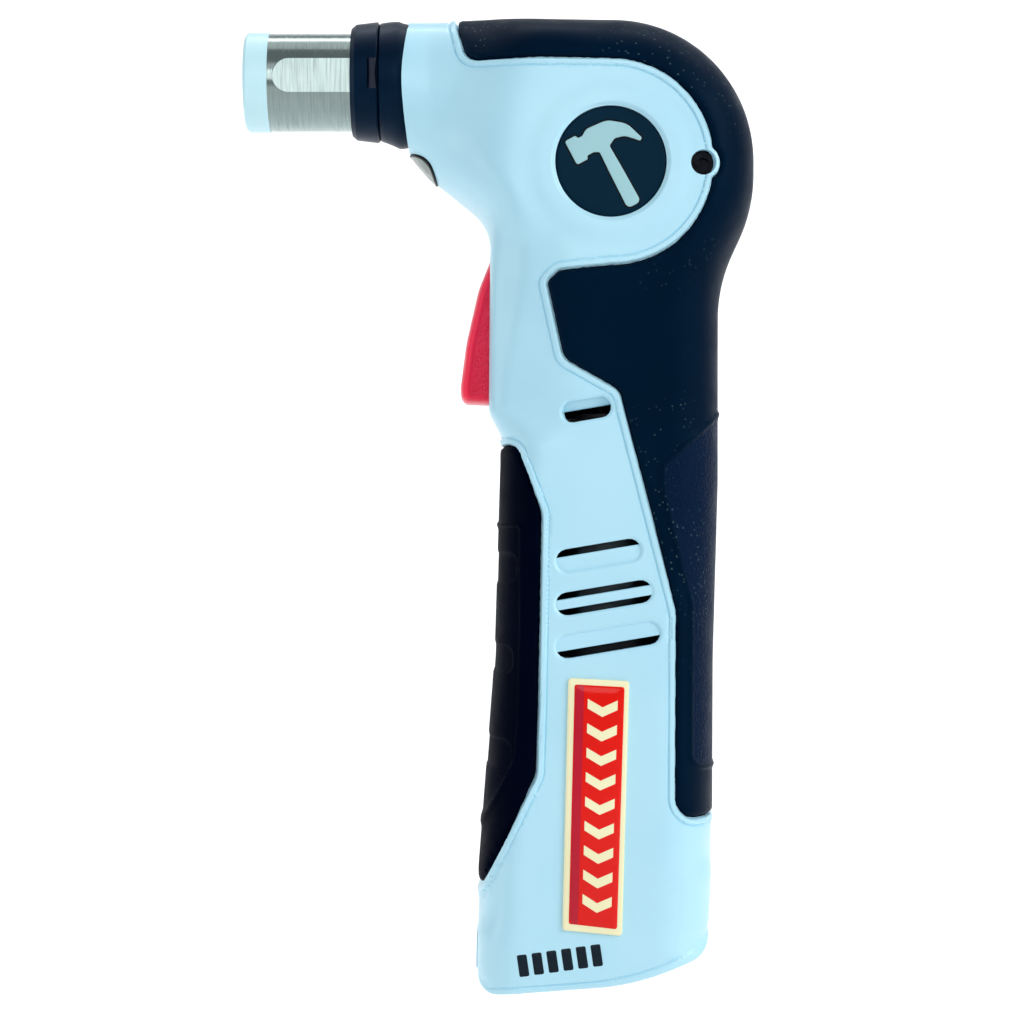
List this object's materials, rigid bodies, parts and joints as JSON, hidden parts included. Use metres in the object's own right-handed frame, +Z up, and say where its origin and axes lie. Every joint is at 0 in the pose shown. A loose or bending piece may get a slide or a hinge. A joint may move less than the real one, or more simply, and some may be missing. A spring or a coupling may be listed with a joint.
{
  "type": "cordless auto hammer",
  "caption": "Pistol-shaped battery hand tool that drives nails: sliding steel nose sleeve, round head, trigger, vented clamshell grip with rubber overmoulds and a slide-out pack.",
  "frame": {"origin": "centre of the nose tip's mouth, on the striking axis", "axes": "+Z up the handle, -X the way the nose points and the nail leaves, Y across the tool with the clamshell split at Y = 0 and its left side at -Y"},
  "size_m": [0.1327, 0.054, 0.2515],
  "materials": {
    "pale_shell": "fine satin moulded plastic",
    "dark_grip": "moulded rubber",
    "collar_rubber": "moulded rubber",
    "tip_plastic": "moulded plastic",
    "bright_steel": "turned and polished",
    "spring_steel": "drawn wire",
    "dark_steel": "oiled machined steel",
    "cast_case": "die cast",
    "bronze": "sintered bronze",
    "copper": "enamelled copper wire",
    "contact_brass": "plated blades",
    "magnet_grey": "sintered magnet",
    "black_plastic": "moulded plastic",
    "red_trigger": "fine grained plastic",
    "emblem_dark": "pebbled plastic",
    "emblem_grey": "painted relief",
    "badge_cream": "domed label",
    "badge_red": "domed label",
    "label_silver": "printed film",
    "lens_clear": "frosted lens",
    "board_green": "circuit board",
    "cell_wrap": "shrink wrap",
    "seal_rubber": "rubber ring",
    "clip_gloss": "glossy clip"
  },
  "bodies": {
    "housing": {"left_housing": "pale_shell", "right_housing": "pale_shell", "left_rear_grip": "dark_grip", "right_rear_grip": "dark_grip", "left_front_grip": "dark_grip", "right_front_grip": "dark_grip", "left_emblem_disc": "emblem_dark", "left_emblem_glyph": "emblem_grey", "right_emblem_disc": "emblem_dark", "right_emblem_glyph": "emblem_grey", "badge_plate": "badge_cream", "badge_inlay": "badge_red", "rating_label": "label_silver", "housing_screws": "dark_steel", "nose_collar_front": "collar_rubber", "nose_collar_rear": "collar_rubber", "nose_clip": "clip_gloss", "rod_bush": "bronze", "rod_seal": "seal_rubber", "gear_case_left": "cast_case", "gear_case_right": "cast_case", "shaft_bearings": "bright_steel", "pinion_bearing": "bright_steel", "motor_can": "bright_steel", "motor_magnets": "magnet_grey", "motor_endbell": "black_plastic", "brushes": "black_plastic", "switch_body": "black_plastic", "trigger_pin": "dark_steel", "trigger_spring": "spring_steel", "sleeve_spring": "spring_steel", "led_lens": "lens_clear", "led_board": "board_green", "terminal_block": "black_plastic"},
    "drive": {"cross_shaft": "bright_steel", "bevel_gear": "dark_steel", "cam_balls": "bright_steel", "thrust_washer": "bright_steel", "hammer_spring": "spring_steel"},
    "impact_wheel": {"impact_wheel": "dark_steel"},
    "rotor": {"motor_shaft": "bright_steel", "armature": "dark_steel", "armature_coils": "copper", "commutator": "contact_brass", "fan": "black_plastic", "bevel_pinion": "dark_steel"},
    "rod": {"striking_rod": "bright_steel", "rod_magnet": "magnet_grey"},
    "sleeve": {"nose_sleeve": "bright_steel", "nose_tip": "tip_plastic"},
    "trigger": {"trigger": "red_trigger"},
    "plunger": {"switch_plunger": "black_plastic"},
    "battery": {"battery_case": "black_plastic", "battery_base": "pale_shell", "battery_cells": "cell_wrap", "battery_terminals": "contact_brass", "latch_spring_front": "spring_steel", "latch_spring_rear": "spring_steel"},
    "front_latch": {"latch_button_front": "black_plastic"},
    "rear_latch": {"latch_button_rear": "black_plastic"}
  },
  "joints": [
    {"name": "drive_spin", "type": "hinge", "parent": "housing", "child": "drive", "pos_m": [0.0943, 0, -0.0241], "axis": [0, -1, 0], "continuous": true},
    {"name": "rotor_spin", "type": "hinge", "parent": "housing", "child": "rotor", "pos_m": [0.0943, 0, -0.12], "axis": [0, 0, 1], "continuous": true},
    {"name": "wheel_retreat", "type": "slide", "parent": "drive", "child": "impact_wheel", "axis": [0, -1, 0], "range_m": [0, 0.0045], "stiffness_N_per_m": 1500, "springref_m": -0.002, "deforming": ["hammer_spring"]},
    {"name": "rod_slide", "type": "slide", "parent": "housing", "child": "rod", "axis": [1, 0, 0], "range_m": [0, 0.004]},
    {"name": "sleeve_slide", "type": "slide", "parent": "housing", "child": "sleeve", "axis": [1, 0, 0], "range_m": [0, 0.018], "stiffness_N_per_m": 250, "springref_m": -0.012, "deforming": ["sleeve_spring"]},
    {"name": "trigger_pull", "type": "hinge", "parent": "housing", "child": "trigger", "pos_m": [0.0705, 0, -0.0495], "axis": [0, -1, 0], "range_deg": [0, 9], "stiffness_Nm_per_rad": 0.5, "springref_deg": -8.59, "deforming": ["trigger_spring"]},
    {"name": "plunger_slide", "type": "slide", "parent": "housing", "child": "plunger", "axis": [1, 0, 0], "range_m": [0, 0.0042]},
    {"name": "battery_slide", "type": "slide", "parent": "housing", "child": "battery", "axis": [0, 0, -1], "range_m": [0, 0.085]},
    {"name": "front_latch_press", "type": "slide", "parent": "battery", "child": "front_latch", "axis": [1, 0, 0], "range_m": [0, 0.002], "stiffness_N_per_m": 800, "springref_m": -0.002, "deforming": ["latch_spring_front"]},
    {"name": "rear_latch_press", "type": "slide", "parent": "battery", "child": "rear_latch", "axis": [-1, 0, 0], "range_m": [0, 0.002], "stiffness_N_per_m": 800, "springref_m": -0.002, "deforming": ["latch_spring_rear"]}
  ],
  "couplings": [
    {"joint": "rotor_spin", "follows": "drive_spin", "ratio": -4},
    {"joint": "plunger_slide", "follows": "trigger_pull", "m_per_rad": 0.0235}
  ]
}
